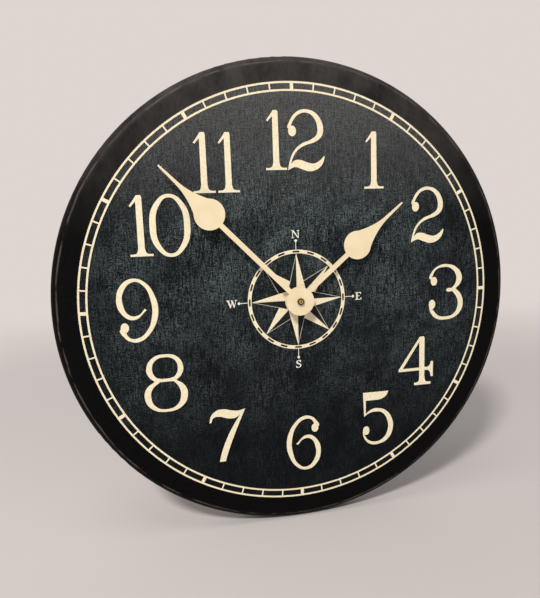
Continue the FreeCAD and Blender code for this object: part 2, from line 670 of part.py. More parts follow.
magnet = new_body("rotor_magnet", "rotor_x", "rotor_y")
pad(magnet, "magnet_front - magnet_high", "magnet_front", circle, "magnet_radius")
cut(magnet, "magnet_front - magnet_high", "magnet_front", circle, "arbor")
finished(magnet)

first = new_body("intermediate_wheel", "first_x", "first_y")
teeth_on(first, "first_front - wheel_thick", "first_front", "first_teeth", "module_first", FIRST_TOOTH)
teeth_on(first, "first_front", "second_front + 0.2", "first_leaves", "module_second", FIRST_TOOTH)
small_arbor(first)
finished(first)

second = new_body("seconds_wheel")
teeth_on(second, "second_front - wheel_thick", "second_front", "second_teeth", "module_second", "0")
teeth_on(second, "second_front", "third_front + 0.2", "second_leaves", "module_third", "0")
pad(second, "boss_front + shoulder", "second_front - wheel_thick", circle, "arbor + 0.3")
cut(second, "boss_front + shoulder", "third_front + 0.2", circle, "second_arbor")
finished(second)

arbor = rod("seconds_arbor", "second_arbor", "boss_front - pivot_out", "front_reach")
arbor.Label = "seconds_arbor"
finished(arbor)

third = new_body("third_wheel", "third_x", "third_y")
teeth_on(third, "third_front - wheel_thick", "third_front", "third_teeth", "module_third", THIRD_TOOTH)
teeth_on(third, "third_front", "rim_front + 0.2", "third_leaves", "module_rim", THIRD_TOOTH)
small_arbor(third)
finished(third)

rim = new_body("clutch_wheel")
teeth_on(rim, "rim_front - wheel_thick", "rim_front", "rim_teeth", "module_rim", RIM_TOOTH)
cut(rim, "rim_front - wheel_thick", "rim_front", circle, "minute_arbor + play")
finished(rim)

# ---------------------------------------------------------------- motion work and hands
spring = new_body("clutch_spring")
SPRING = ("rim_front + 0.08", "rim_front + 0.08 + spring_thick")
pad(spring, SPRING[0], SPRING[1], circle, "spring_radius")
cut(spring, SPRING[0], SPRING[1], circle, "minute_arbor")
finished(spring)

minute = new_body("minute_arbor")
teeth_on(minute, "cannon_front - cannon_thick", "cannon_front", "cannon_leaves", "module_cannon", "0")
MINUTE_REAR = "rim_front - wheel_thick - play - 0.2"
pad(minute, MINUTE_REAR, "minute_level", circle, "minute_arbor")
pad(minute, MINUTE_REAR, MINUTE_REAR + " + 0.2", circle, "minute_arbor + 0.7")
pad(minute, "minute_level - 0.1", "minute_level + hand_thick + hand_nut_high", circle, "minute_seat")
cut(minute, MINUTE_REAR, "minute_level + hand_thick + hand_nut_high", circle, "second_arbor + play")
finished(minute)

reduction = new_body("reduction_wheel", "reduction_x", "reduction_y")
teeth_on(reduction, "reduction_front - reduction_thick", "reduction_front", "reduction_teeth",
         "module_cannon", REDUCTION_TOOTH)
teeth_on(reduction, "reduction_front", "room_front - shoulder", "reduction_leaves", "module_hour",
         REDUCTION_TOOTH)
pad(reduction, "room_front - shoulder - 0.1", "room_front + pivot_in", circle, "pivot")
pad(reduction, "plate_front + shoulder", "reduction_front - reduction_thick", circle, "arbor")
pad(reduction, "plate_front - pivot_in", "plate_front + shoulder + 0.1", circle, "pivot")
finished(reduction)

hour = new_body("hour_wheel")
teeth_on(hour, "hour_front - hour_thick", "hour_front", "hour_teeth", "module_hour", HOUR_TOOTH)
pad(hour, "hour_front - hour_thick", "hour_level + hand_thick + 0.1", circle, "hour_tube")
cut(hour, "hour_front - hour_thick", "hour_level + hand_thick + 0.1", circle, "minute_arbor + play")
finished(hour)


def spade(sketch, hub_edge, bulb_at):
    """The point of a spade hand: hollow flanks from the round part to a fine, blunt tip."""
    stations = [("cheek_far", "cheek_half"), ("neck_far", "neck_half"),
                ("needle_far", "needle_half"), ("point_far", "point_half")]
    bows = ["cheek_bow", "neck_bow"]
    right = [(half, "%s + %s" % (bulb_at, far)) for far, half in stations]
    left = [("-" + half, far) for half, far in reversed(right)]
    right[1] += (bows[0],)
    right[2] += (bows[1],)
    left[2] += (bows[1],)
    left[3] += (bows[0],)
    outline(sketch, left + right)


def spade_hand(name, level, time, bulb_at, bulb, bore):
    """A flat hand cut from sheet: hub, arm, round part and point, turned to where it stands."""
    hand = new_body(name)
    top = level + " + hand_thick"
    turn = "-(%s)" % time
    pad(hand, level, top, circle, "hand_hub", turn=turn)
    pad(hand, level, top, rectangle, "-hand_arm", "hand_arm", "hand_hub / 2", bulb_at, turn=turn)
    pad(hand, level, top, circle, bulb, "0", bulb_at, turn=turn)
    pad(hand, level, top, spade, "hand_hub", bulb_at, turn=turn)
    cut(hand, level, top, circle, bore)
    return finished(hand)


spade_hand("hour_hand", "hour_level", "hour_time", "hour_bulb_at", "hour_bulb", "hour_tube")
spade_hand("minute_hand", "minute_level", "minute_time", "minute_bulb_at", "minute_bulb", "minute_seat")

for name, level, outside, bore in (("hour_collar", "hour_level", "hour_collar", "hour_tube"),
                                   ("minute_collar", "minute_level", "minute_collar", "minute_arbor")):
    collar = new_body(name)
    pad(collar, level + " - collar_high", level, circle, outside)
    cut(collar, level + " - collar_high", level, circle, bore)
    finished(collar)

cap = new_body("hand_nut")
CAP = ("minute_level + hand_thick", "minute_level + hand_thick + hand_nut_high")
pad(cap, CAP[0], CAP[1], circle, "hand_nut")
round_edges(cap, "Chamfer", "0.35", lambda e: on_level(e, number(CAP[1])))
cut(cap, CAP[0], CAP[1], circle, "minute_seat")
finished(cap)

# ---------------------------------------------------------------- setting knob
knob = new_body("setting_knob", "setting_x", "setting_y")
teeth_on(knob, "cannon_front - cannon_thick", "cannon_front", "setting_leaves", "module_cannon",
         SETTING_TOOTH)
pad(knob, "case_rear - shoulder - 0.1", "room_front - 0.3", circle, "setting_arbor")
pad(knob, "room_front - 0.4", "room_front + pivot_in", circle, "pivot")
pad(knob, "case_rear - shoulder - setting_thick", "case_rear - shoulder", circle, "setting_head")
flute = cut(knob, "case_rear - shoulder - setting_thick", "case_rear - shoulder", circle, "0.8",
            "setting_head + 0.45", "0")
doc.recompute()
repeat(knob, flute, "16")
finished(knob)

# ---------------------------------------------------------------- hanger and bumpers
strap = new_body("hanger_strap")
STRAP = ("-board_thick - strap_thick", "-board_thick")
pad(strap, STRAP[0], STRAP[1], rectangle, "-strap_wide / 2", "strap_wide / 2", "hang_y - strap_high / 2",
    "hang_y + strap_high / 2")
round_edges(strap, "Fillet", "3", lambda e: abs(e.BoundBox.ZMax - e.BoundBox.ZMin) > 0.5)
cut(strap, STRAP[0], STRAP[1], circle, "nail_hole", "0", "hang_y")
for side in ("-screw_span / 2", "screw_span / 2"):
    cut(strap, STRAP[0], STRAP[1], circle, "screw_shank + play", side, "hang_y")
finished(strap)

screws = []
slots = []
for i, x in enumerate(("-screw_span / 2", "screw_span / 2")):
    under = "-board_thick - strap_thick"
    top = under + " - screw_head_high"
    screws.append(rod("screw_shank_%d" % i, "screw_shank", under, "screw_long - board_thick - 0.5", x, "hang_y"))
    screws.append(rod("screw_head_%d" % i, "screw_head", top, under, x, "hang_y"))
    for wide, high in (("1.8", "0.35"), ("0.35", "1.8")):
        slots.append(box("cross_%d_%d" % (i, len(slots)), "%s - %s" % (x, wide), "%s + %s" % (x, wide),
                         "hang_y - " + high, "hang_y + " + high, top + " - 1", top + " + 1"))
finished(take("hanger_screws", join("screw_blanks", screws), join("cross_slots", slots)))

pads = []
for i, (x, y) in enumerate((("-bumper_far", "-bumper_far"), ("bumper_far", "-bumper_far"),
                            ("-bumper_far", "bumper_far"), ("bumper_far", "bumper_far"))):
    pads.append(rod("bumper_%d" % i, "bumper_radius", "-rear_reach", "-board_thick", x, y))
finished(join("wall_bumpers", pads))

# ---------------------------------------------------------------- check and write
doc.recompute()
for item in doc.Objects:
    if "Invalid" in item.State or "Error" in item.State:
        raise RuntimeError("%s (%s) has state %s" % (item.Name, item.Label, item.State))
for item in PIECES:
    shape = item.Shape
    if shape.isNull() or not shape.isValid() or shape.Volume <= 0:
        raise RuntimeError("%s has no valid solid" % item.Label)
    shape.exportStep("parts/%s.step" % item.Label)
    size_box = shape.BoundBox
    print("%-20s %9.1f mm3  x %.1f..%.1f  y %.1f..%.1f  z %.1f..%.1f" % (
        item.Label, shape.Volume, size_box.XMin, size_box.XMax, size_box.YMin, size_box.YMax,
        size_box.ZMin, size_box.ZMax))
print(len(PIECES), "pieces written")
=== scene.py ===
# %% [markdown]
# # A twelve inch wall clock
# The clock is a round painted board with its face printed on it, two spade hands, and a battery movement
# let into the back. The board, hands and movement are already solid pieces, so this lesson adds what a
# solid model lacks: the printed numerals, the minute track, the compass rose, and a finish for every
# surface.

# %% Load the solid pieces
import math

import bmesh
import bpy
from mathutils import Matrix, Vector


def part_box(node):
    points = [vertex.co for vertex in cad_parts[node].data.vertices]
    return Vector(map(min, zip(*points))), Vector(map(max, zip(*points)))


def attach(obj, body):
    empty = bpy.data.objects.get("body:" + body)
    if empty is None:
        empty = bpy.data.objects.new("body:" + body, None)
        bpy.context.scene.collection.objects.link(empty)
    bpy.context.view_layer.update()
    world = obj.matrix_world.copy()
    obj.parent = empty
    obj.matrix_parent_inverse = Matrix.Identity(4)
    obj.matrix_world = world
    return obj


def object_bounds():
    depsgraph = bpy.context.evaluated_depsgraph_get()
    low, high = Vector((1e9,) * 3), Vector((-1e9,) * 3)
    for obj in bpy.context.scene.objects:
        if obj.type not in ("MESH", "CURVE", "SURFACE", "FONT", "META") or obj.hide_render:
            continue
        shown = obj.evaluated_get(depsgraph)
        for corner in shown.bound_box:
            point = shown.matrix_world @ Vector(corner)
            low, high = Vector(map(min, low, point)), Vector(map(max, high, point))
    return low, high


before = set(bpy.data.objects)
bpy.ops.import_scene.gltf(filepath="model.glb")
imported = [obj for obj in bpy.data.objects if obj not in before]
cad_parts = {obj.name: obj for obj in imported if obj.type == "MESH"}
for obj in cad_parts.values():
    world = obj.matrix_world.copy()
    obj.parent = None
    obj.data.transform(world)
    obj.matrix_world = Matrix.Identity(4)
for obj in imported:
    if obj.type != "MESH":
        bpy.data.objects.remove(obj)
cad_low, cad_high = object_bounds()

print("pieces loaded:", len(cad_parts), "size in mm:", [round(v * 1000, 1) for v in cad_high - cad_low])

# %% [markdown]
# The dial face is the plane that everything is printed on. Its place is read from the board itself, so the
# print stays on it whatever the board's thickness. Sizes below are in millimetres and this scale turns them
# into Blender's metres.

# %% Where the dial is
MM = 0.001
board_low, board_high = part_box("dial_board")
face_y = board_low.y
board_radius = (board_high.x - board_low.x) / 2
print("dial face at y =", round(face_y / MM, 2), "mm, board radius", round(board_radius / MM, 1), "mm")

# %% [markdown]
# The camera stands close, a little to the left and a little above the middle, which is how such a clock is
# seen on a shelf. A close camera makes the near side of the dial larger, so its distance matters as much as
# its direction. It is placed by its own point, then turned by three angles: left to right, down, and a
# lean.

# %% Camera
camera_data = bpy.data.cameras.new("view")
camera_data.sensor_width = 36
camera_data.lens = 32.14
camera_data.clip_start = 0.01
camera = bpy.data.objects.new("view", camera_data)
bpy.context.scene.collection.objects.link(camera)
bpy.context.scene.camera = camera
camera.location = (-88.6 * MM, face_y - 334.3 * MM, 51.6 * MM)
swing, tilt, lean = math.radians(-11.90), math.radians(-8.31), math.radians(-1.98)
camera.rotation_euler = (Matrix.Rotation(swing, 3, "Z") @ Matrix.Rotation(math.radians(90) + tilt, 3, "X")
                         @ Matrix.Rotation(lean, 3, "Z")).to_euler()
bpy.context.scene.view_settings.view_transform = "Standard"
print("camera", round((camera.location - Vector((0, face_y, 0))).length, 3), "m from the dial's centre")

# %% [markdown]
# A clock with no stand would fall over, so the floor only touches its lowest edge, as if a hand held it
# there. The floor is one large plane. It and the sky share a warm pale grey, and the floor fades into it
# with distance, so that no horizon shows.

# %% Floor and background
def new_material(name, colour=(0.5, 0.5, 0.5), roughness=0.5, metallic=0.0):
    """A material with one shader, and the tools to add nodes to it."""
    material = bpy.data.materials.new(name)
    material.use_nodes = True
    shader = material.node_tree.nodes["Principled BSDF"]
    shader.inputs["Base Color"].default_value = (*colour, 1)
    shader.inputs["Roughness"].default_value = roughness
    shader.inputs["Metallic"].default_value = metallic
    return material, shader


def node(material, kind, **settings):
    """Add a node. Settings whose names are sockets set those sockets."""
    made = material.node_tree.nodes.new("ShaderNode" + kind)
    for key, value in settings.items():
        if hasattr(made, key):
            setattr(made, key, value)
        else:
            made.inputs[key.replace("_", " ")].default_value = value
    return made


def link(material, out, into):
    material.node_tree.links.new(out, into)


paper = (0.735, 0.665, 0.635)
floor_finish, floor_shader = new_material("pale_floor", paper, 0.9)
cloud = node(floor_finish, "TexNoise", Scale=3.0, Detail=3.0)
place = node(floor_finish, "TexCoord")
shades = node(floor_finish, "ValToRGB")
shades.color_ramp.elements[0].color = (0.60, 0.54, 0.515, 1)
shades.color_ramp.elements[1].color = (0.66, 0.60, 0.575, 1)
link(floor_finish, place.outputs["Object"], cloud.inputs["Vector"])
link(floor_finish, cloud.outputs["Fac"], shades.inputs["Fac"])
link(floor_finish, shades.outputs["Color"], floor_shader.inputs["Base Color"])

away = node(floor_finish, "VectorMath", operation="LENGTH")
fade = node(floor_finish, "MapRange", interpolation_type="SMOOTHSTEP")
fade.inputs["From Min"].default_value = 0.25
fade.inputs["From Max"].default_value = 1.1
sight = node(floor_finish, "LightPath")
seen_far = node(floor_finish, "Math", operation="MULTIPLY")
haze = node(floor_finish, "Emission", Color=(*paper, 1), Strength=1.0)
mixed = node(floor_finish, "MixShader")
link(floor_finish, place.outputs["Object"], away.inputs[0])
link(floor_finish, away.outputs["Value"], fade.inputs["Value"])
link(floor_finish, fade.outputs["Result"], seen_far.inputs[0])
link(floor_finish, sight.outputs["Is Camera Ray"], seen_far.inputs[1])
link(floor_finish, seen_far.outputs[0], mixed.inputs[0])
link(floor_finish, floor_shader.outputs[0], mixed.inputs[1])
link(floor_finish, haze.outputs[0], mixed.inputs[2])
link(floor_finish, mixed.outputs[0], floor_finish.node_tree.nodes["Material Output"].inputs["Surface"])

floor_mesh = bpy.data.meshes.new("floor")
sheet = bmesh.new()
bmesh.ops.create_circle(sheet, cap_ends=True, segments=96, radius=12)
bmesh.ops.translate(sheet, verts=sheet.verts, vec=(0, 0, cad_low.z))
sheet.to_mesh(floor_mesh)
sheet.free()
floor = bpy.data.objects.new("floor", floor_mesh)
floor_mesh.materials.append(floor_finish)
bpy.context.scene.collection.objects.link(floor)

world = bpy.data.worlds.new("room")
bpy.context.scene.world = world
world.use_nodes = True
world.node_tree.nodes.clear()
seen = node(world, "Background", Color=(*paper, 1), Strength=1.0)
fill = node(world, "Background", Color=(0.95, 0.97, 1.0, 1), Strength=0.36)
rays = node(world, "LightPath")
mirrored = node(world, "Math", operation="MAXIMUM")
either = node(world, "Math", operation="MAXIMUM")
choose = node(world, "MixShader")
sky = node(world, "OutputWorld")
link(world, rays.outputs["Is Glossy Ray"], mirrored.inputs[0])
link(world, rays.outputs["Is Transmission Ray"], mirrored.inputs[1])
link(world, rays.outputs["Is Camera Ray"], either.inputs[0])
link(world, mirrored.outputs[0], either.inputs[1])
link(world, either.outputs[0], choose.inputs["Fac"])
link(world, fill.outputs[0], choose.inputs[1])
link(world, seen.outputs[0], choose.inputs[2])
link(world, choose.outputs[0], sky.inputs[0])
print("floor at", round(cad_low.z / MM, 1), "mm")

# %% [markdown]
# One soft window to the upper left gives the hands their shadows on the dial, down and to the right. A
# second, weaker one overhead lights the board's upper rim, whose sheen is also painted into the black. The
# sky above fills the rest.

# %% Lamps
def lamp(name, place, aim, across, watts, tint=(1, 1, 1)):
    """A square soft lamp that points at one spot."""
    data = bpy.data.lights.new(name, "AREA")
    data.size = across
    data.energy = watts
    data.color = tint
    made = bpy.data.objects.new(name, data)
    bpy.context.scene.collection.objects.link(made)
    made.location = place
    made.rotation_euler = (Vector(aim) - Vector(place)).to_track_quat("-Z", "Y").to_euler()
    return made


lamp("window", (-0.80, -1.30, 1.35), (0, 0, 0), 0.26, 33, (1.0, 0.985, 0.96))
lamp("ceiling", (-0.35, -0.35, 1.6), (0, 0, 0.05), 0.8, 5, (0.97, 0.98, 1.0))

# %% [markdown]
# ## Printing
# Everything on the face is screen printed: flat shapes of ink, a hair above the paint. Each shape here is a
# closed outline drawn on a flat curve, which Blender fills and gives a little thickness. Smooth points
# round off by themselves and corner points stay sharp. The curve is turned into a mesh before it is stood
# up on the dial, because a finished piece keeps its place in its mesh.

# %% A press for flat shapes
INK = 0.05 * MM


def corner(*points):
    return [(x, y, "VECTOR") for x, y in points]


def smooth(*points):
    return [(x, y, "AUTO") for x, y in points]


def print_outlines(target, outlines, lift, move=(0, 0), scale=1.0, turn=0.0):
    """Fill some outlines as one layer of ink and add it to the mesh that is being gathered in target."""
    curve = bpy.data.curves.new("outline", "CURVE")
    curve.dimensions = "2D"
    curve.fill_mode = "BOTH"
    curve.extrude = INK / 2 / MM
    curve.resolution_u = 6
    for points in outlines:
        spline = curve.splines.new("BEZIER")
        spline.bezier_points.add(len(points) - 1)
        spline.use_cyclic_u = True
        for knot, (x, y, kind) in zip(spline.bezier_points, points):
            knot.co = (x, y, 0)
            knot.handle_left_type = kind
            knot.handle_right_type = kind
    holder = bpy.data.objects.new("outline", curve)
    bpy.context.scene.collection.objects.link(holder)
    bpy.context.view_layer.update()
    flat = bpy.data.meshes.new_from_object(holder)
    stand = (Matrix.Translation((0, face_y - lift * MM - INK / 2, 0)) @ Matrix.Rotation(math.pi / 2, 4, "X")
             @ Matrix.Scale(MM, 4) @ Matrix.Translation((move[0], move[1], 0))
             @ Matrix.Rotation(math.radians(turn), 4, "Z") @ Matrix.Scale(scale, 4))
    flat.transform(stand)
    target.from_mesh(flat)
    bpy.data.objects.remove(holder)
    bpy.data.curves.remove(curve)
    bpy.data.meshes.remove(flat)


def finish_piece(gathered, name, material, body="clock"):
    """Close the seams of a gathered shape, turn its faces outwards and let it ride on a body."""
    bmesh.ops.remove_doubles(gathered, verts=gathered.verts, dist=1e-7)
    bmesh.ops.recalc_face_normals(gathered, faces=gathered.faces)
    mesh = bpy.data.meshes.new(name)
    gathered.to_mesh(mesh)
    gathered.free()
    mesh.materials.append(material)
    piece = bpy.data.objects.new(name, mesh)
    bpy.context.scene.collection.objects.link(piece)
    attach(piece, body)
    return piece


# %% [markdown]
# The ink is a warm cream. Real screen ink is matt, a little uneven where the mesh of the screen left it
# thin, so a fine noise shifts its colour slightly.

# %% Inks
def ink(name, light, dark, roughness=0.75):
    """A printed colour with a fine, faint grain."""
    material, shader = new_material(name, light, roughness)
    place = node(material, "TexCoord")
    grain = node(material, "TexNoise", Scale=900.0, Detail=2.0)
    tone = node(material, "ValToRGB")
    tone.color_ramp.elements[0].position = 0.35
    tone.color_ramp.elements[0].color = (*dark, 1)
    tone.color_ramp.elements[1].position = 0.62
    tone.color_ramp.elements[1].color = (*light, 1)
    link(material, place.outputs["Object"], grain.inputs["Vector"])
    link(material, grain.outputs["Fac"], tone.inputs["Fac"])
    link(material, tone.outputs["Color"], shader.inputs["Base Color"])
    shader.inputs["Specular IOR Level"].default_value = 0.2
    return material


cream_ink = ink("cream_ink", (0.93, 0.83, 0.59), (0.84, 0.72, 0.49))
pale_ink = ink("pale_ink", (0.90, 0.87, 0.78), (0.78, 0.74, 0.64))
grey_ink = ink("grey_ink", (0.66, 0.62, 0.50), (0.50, 0.46, 0.37))
dark_ink = ink("dark_ink", (0.012, 0.014, 0.015), (0.006, 0.007, 0.008))

# %% [markdown]
# ## Numerals
# The numerals belong to a high contrast family: thick stems, hairline curves, flat feet and round drops at
# the ends of the strokes. Each is drawn once, about 37 mm tall, from its own lower left corner. The one is
# measured from the middle of its stem, because it stands in several numbers.

# %% One and two
def drop(x, y, wide, high):
    """A round end of a stroke."""
    a, b = wide / 2, high / 2
    return smooth((x + a, y), (x, y + b), (x - a, y), (x, y - b))


GLYPHS = {}
GLYPHS["1"] = [[
    corner((-6.7, 0.2), (6.8, 0.2), (6.8, 1.45)) + smooth((3.0, 2.1)) + corner((1.95, 5.0), (1.75, 35.2))
    + corner((1.3, 36.4), (-1.3, 36.4)) + smooth((-3.2, 33.6)) + corner((-5.7, 30.3), (-4.9, 29.5))
    + smooth((-3.4, 31.2)) + corner((-1.85, 32.8), (-1.95, 5.0)) + smooth((-3.0, 2.1))
    + corner((-6.7, 1.45))]]
GLYPHS["2"] = [[
    smooth((0.8, 26.3), (1.7, 30.5), (4.8, 35.0), (9.2, 37.6), (13.6, 37.8), (18.6, 35.8), (22.4, 31.0),
           (23.6, 26.0), (22.7, 21.9), (18.6, 18.3), (11.8, 16.1), (6.8, 13.2), (3.7, 9.0))
    + corner((2.1, 4.7)) + smooth((4.6, 6.8), (8.1, 7.1), (12.6, 5.6), (17.1, 4.8), (21.3, 6.8))
    + corner((23.8, 9.3), (24.4, 8.8))
    + smooth((22.7, 4.2), (19.0, 1.1), (14.1, 0), (9.6, 1.2), (4.6, 2.7)) + corner((1.8, 1.7), (0, 0.8))
    + smooth((1.2, 6.0), (3.6, 11.8), (8.6, 16.7), (15.6, 19.7), (19.2, 22.6), (19.7, 27.5), (17.6, 32.8),
             (13.4, 35.7), (8.1, 35.0), (4.3, 31.4)) + corner((2.3, 27.4))],
    [drop(3.3, 24.8, 5.1, 6.4)]]

# %% Three, four and five
GLYPHS["3"] = [[
    smooth((1.0, 28.7), (2.2, 34.0), (8.0, 38.1), (14.6, 38.6), (21.0, 36.0), (24.6, 31.0), (24.2, 25.6))
    + corner((20.2, 21.5)) + smooth((24.2, 17.4), (26.0, 11.2), (24.0, 5.0), (19.0, 1.1), (13.0, 0),
                                    (6.6, 0.7), (1.6, 5.0)) + corner((0.2, 9.7), (3.0, 7.5))
    + smooth((7.0, 3.2), (13.0, 2.1), (18.5, 3.5), (21.8, 8.4), (21.4, 14.6)) + corner((17.8, 19.8))
    + smooth((13.9, 19.7), (13.1, 20.7), (13.9, 21.7)) + corner((17.4, 21.9))
    + smooth((20.4, 26.0), (20.3, 31.2), (16.5, 35.7), (11.0, 36.8), (5.2, 35.2)) + corner((2.4, 30.5))],
    [drop(3.7, 27.3, 4.8, 6.0)], [drop(2.4, 11.2, 4.8, 6.5)]]
GLYPHS["4"] = [[
    corner((11.9, 0), (24.4, 0), (24.4, 1.8)) + smooth((20.8, 2.3)) + corner((19.6, 6.2), (19.6, 10.5))
    + smooth((23.0, 9.8)) + corner((24.6, 5.4), (26.2, 5.4), (26.2, 16.4), (24.6, 16.4))
    + smooth((23.0, 13.1))
    + corner((19.6, 12.5), (19.6, 34.0), (18.9, 34.6), (16.0, 34.6), (0.1, 12.0), (0.2, 10.5), (15.7, 10.5))
    + corner((15.7, 6.2)) + smooth((14.8, 2.3)) + corner((11.9, 1.8)),
    corner((15.7, 31.0), (3.2, 12.5), (15.7, 12.5))]]
GLYPHS["5"] = [[
    corner((0.4, 38.3), (19.2, 38.1)) + smooth((17.2, 34.7), (12.8, 32.6)) + corner((9.0, 32.4), (2.4, 32.4))
    + corner((2.3, 22.9)) + smooth((6.2, 25.7), (12.0, 26.2), (18.2, 23.2), (22.0, 17.0), (22.3, 10.0),
                                   (18.9, 3.4), (12.4, 0.3), (5.2, 0.9), (0.7, 6.0))
                                   + corner((0, 10.2), (1.4, 7.4))
    + smooth((4.2, 3.7), (9.2, 2.1), (15.0, 3.9), (18.6, 10.0), (18.0, 17.6), (14.4, 22.8), (9.2, 24.0),
             (4.4, 23.1)) + corner((1.1, 21.0))],
    [drop(2.5, 10.8, 4.7, 6.3)]]

# %% Six, seven, eight and nought
GLYPHS["6"] = [[
    smooth((22.6, 30.0), (20.9, 34.8), (16.9, 37.9), (11.6, 38.1), (5.9, 34.0), (1.4, 26.6), (0, 19.0),
           (1.4, 11.4),
           (6.4, 3.0), (13.4, 0), (20.2, 3.0), (23.9, 12.0), (21.4, 20.8), (14.6, 24.8))
    + corner((6.7, 19.2), (7.9, 18.4))
    + smooth((11.8, 22.1), (16.8, 21.8), (20.1, 16.0), (19.6, 7.6), (13.4, 2.0), (7.9, 4.6), (4.2, 13.0),
             (3.9, 23.0),
             (7.4, 32.0), (12.9, 36.0), (17.6, 35.4)) + corner((19.7, 32.0))],
    [drop(20.1, 29.3, 4.8, 6.0)]]
GLYPHS["7"] = [[
    corner((0, 27.4)) + smooth((1.4, 32.2), (4.8, 35.2), (9.6, 35.8), (15.1, 34.5), (19.4, 34.0))
    + corner((23.8, 34.9), (23.3, 33.6)) + smooth((16.6, 18.8), (11.1, 4.8)) + corner((9.6, 0), (5.6, 0))
    + smooth((7.1, 5.8), (11.6, 16.8), (15.6, 24.0)) + corner((20.4, 31.2))
    + smooth((17.2, 29.3), (12.6, 29.3), (6.6, 31.1), (2.9, 30.6)) + corner((1.2, 27.3))]]
GLYPHS["8"] = [[
    smooth((13.8, 37.6), (21.4, 35.6), (25.0, 28.8), (23.6, 23.6)) + corner((20.3, 20.4))
    + smooth((25.4, 16.4), (27.0, 10.4), (23.6, 3.2), (13.5, 0), (3.4, 3.2), (0, 10.4), (1.6, 16.4))
    + corner((6.8, 20.3)) + smooth((3.4, 23.6), (2.0, 28.8), (6.0, 35.6)),
    smooth((13.6, 35.7), (19.4, 33.9), (21.6, 28.9), (19.6, 23.2)) + corner((16.2, 21.8), (11.0, 21.8))
    + smooth((7.6, 23.2), (5.6, 28.9), (7.8, 33.9)),
    corner((10.0, 19.8), (18.5, 19.8)) + smooth((21.7, 15.6), (22.6, 10.4), (20.2, 4.2), (13.4, 1.7),
                                                (6.4, 4.2),
                                                (4.0, 10.4), (5.2, 15.6))]]
GLYPHS["0"] = [[
    smooth((12.3, 0), (21.2, 5.8), (24.6, 19.1), (21.2, 32.4), (12.3, 38.2), (3.4, 32.4), (0, 19.1),
           (3.4, 5.8)),
    smooth((12.3, 2.1), (18.6, 7.6), (20.8, 19.1), (18.6, 30.6), (12.3, 36.1), (6.0, 30.6), (3.9, 19.1),
           (6.0, 7.6))]]
print("numeral shapes:", sorted(GLYPHS))

# %% [markdown]
# The numbers stand upright round the dial, each digit by its lower left corner in millimetres from the
# spindle. The nine is the six turned upside down, so its place is its upper right corner.

# %% Numbers on the dial
NUMBERS = {
    "12": [("1", -11.1, 82.9, 1.0, 0), ("2", -3.7, 82.0, 1.0, 0)],
    "1": [("1", 54.0, 70.1, 1.0, 0)],
    "2": [("2", 80.35, 33.2, 0.99, 0)],
    "3": [("3", 94.0, -20.7, 1.0, 0)],
    "4": [("4", 71.4, -66.2, 1.0, 0)],
    "5": [("5", 44.65, -106.2, 1.0, 0)],
    "6": [("6", -10.05, -118.0, 1.0, 0)],
    "7": [("7", -61.35, -104.8, 1.0, 0)],
    "8": [("8", -101.0, -66.6, 1.0, 0)],
    "9": [("6", -89.15, 19.7, 1.035, 180)],
    "10": [("1", -96.7, 32.7, 1.015, 0), ("0", -91.2, 31.8, 1.0, 0)],
    "11": [("1", -56.75, 69.7, 1.0, 0), ("1", -41.65, 69.7, 1.0, 0)],
}
for number, digits in NUMBERS.items():
    gathered = bmesh.new()
    for digit, x, y, scale, turn in digits:
        for layer, outlines in enumerate(GLYPHS[digit]):
            print_outlines(gathered, outlines, 0.02 + 0.02 * layer, (x, y), scale, turn)
    finish_piece(gathered, "numeral_" + number, cream_ink)
print("numbers printed:", len(NUMBERS))

# %% [markdown]
# ## Minute track
# Two thin rings with a mark between them for every minute, and a wider one for every fifth. A ring is a
# small rectangle spun once round the spindle. A mark is a cube squeezed flat and turned to its minute.

# %% Rings and minute marks
def ring(gathered, inner, outer, lift, steps=240):
    """A flat ring of ink, spun from its own cross section."""
    back, front = face_y - lift * MM, face_y - lift * MM - INK
    section = [gathered.verts.new((r * MM, y, 0)) for r, y in
               ((inner, back), (outer, back), (outer, front), (inner, front))]
    edges = [gathered.edges.new((section[i], section[(i + 1) % 4])) for i in range(4)]
    bmesh.ops.spin(gathered, geom=section + edges, axis=(0, 1, 0), cent=(0, 0, 0), steps=steps,
                   angle=math.tau, use_merge=True, use_duplicate=False)


def bar(gathered, inner, outer, wide, lift, clockwise):
    """A straight mark of ink that points away from the spindle."""
    made = bmesh.ops.create_cube(gathered, size=1)["verts"]
    bmesh.ops.scale(gathered, verts=made, vec=(wide * MM, INK, (outer - inner) * MM))
    bmesh.ops.translate(gathered, verts=made, vec=(0, face_y - lift * MM - INK / 2, (inner + outer) / 2 * MM))
    bmesh.ops.rotate(gathered, verts=made, cent=(0, 0, 0), matrix=Matrix.Rotation(math.radians(clockwise), 3,
                                                                                  "Y"))


track_inner, track_outer, line = 131.3, 136.0, 1.15
five_wide, minute_wide = 2.15, 0.9
gathered = bmesh.new()
for middle in (track_inner, track_outer):
    ring(gathered, middle - line / 2, middle + line / 2, 0.02)
finish_piece(gathered, "minute_track_rings", cream_ink)

gathered = bmesh.new()
for minute in range(60):
    bar(gathered, track_inner, track_outer, five_wide if minute % 5 == 0 else minute_wide, 0.03, minute * 6)
finish_piece(gathered, "minute_marks", cream_ink)

# %% [markdown]
# ## Compass rose
# Eight points lie round the spindle, four long ones over four turned by 45 degrees. One half of each point
# is solid cream and the other half is only an outline, which is how engravers made such a star look folded.
# Each layer of ink lies on the one below.

# %% The star
def point_half(gathered, tip, waist, clockwise, lift, shrink=1.0):
    """Half of one point: tip, waist and centre, turned clockwise; shrink draws it smaller inside itself."""
    corners = [Vector((0, 0)), Vector((0, tip)), Vector(waist)]
    middle = sum(corners, Vector((0, 0))) / 3
    corners = [middle + (c - middle) * shrink for c in corners]
    print_outlines(gathered, [corner(*[tuple(c) for c in corners])], lift, turn=-clockwise)


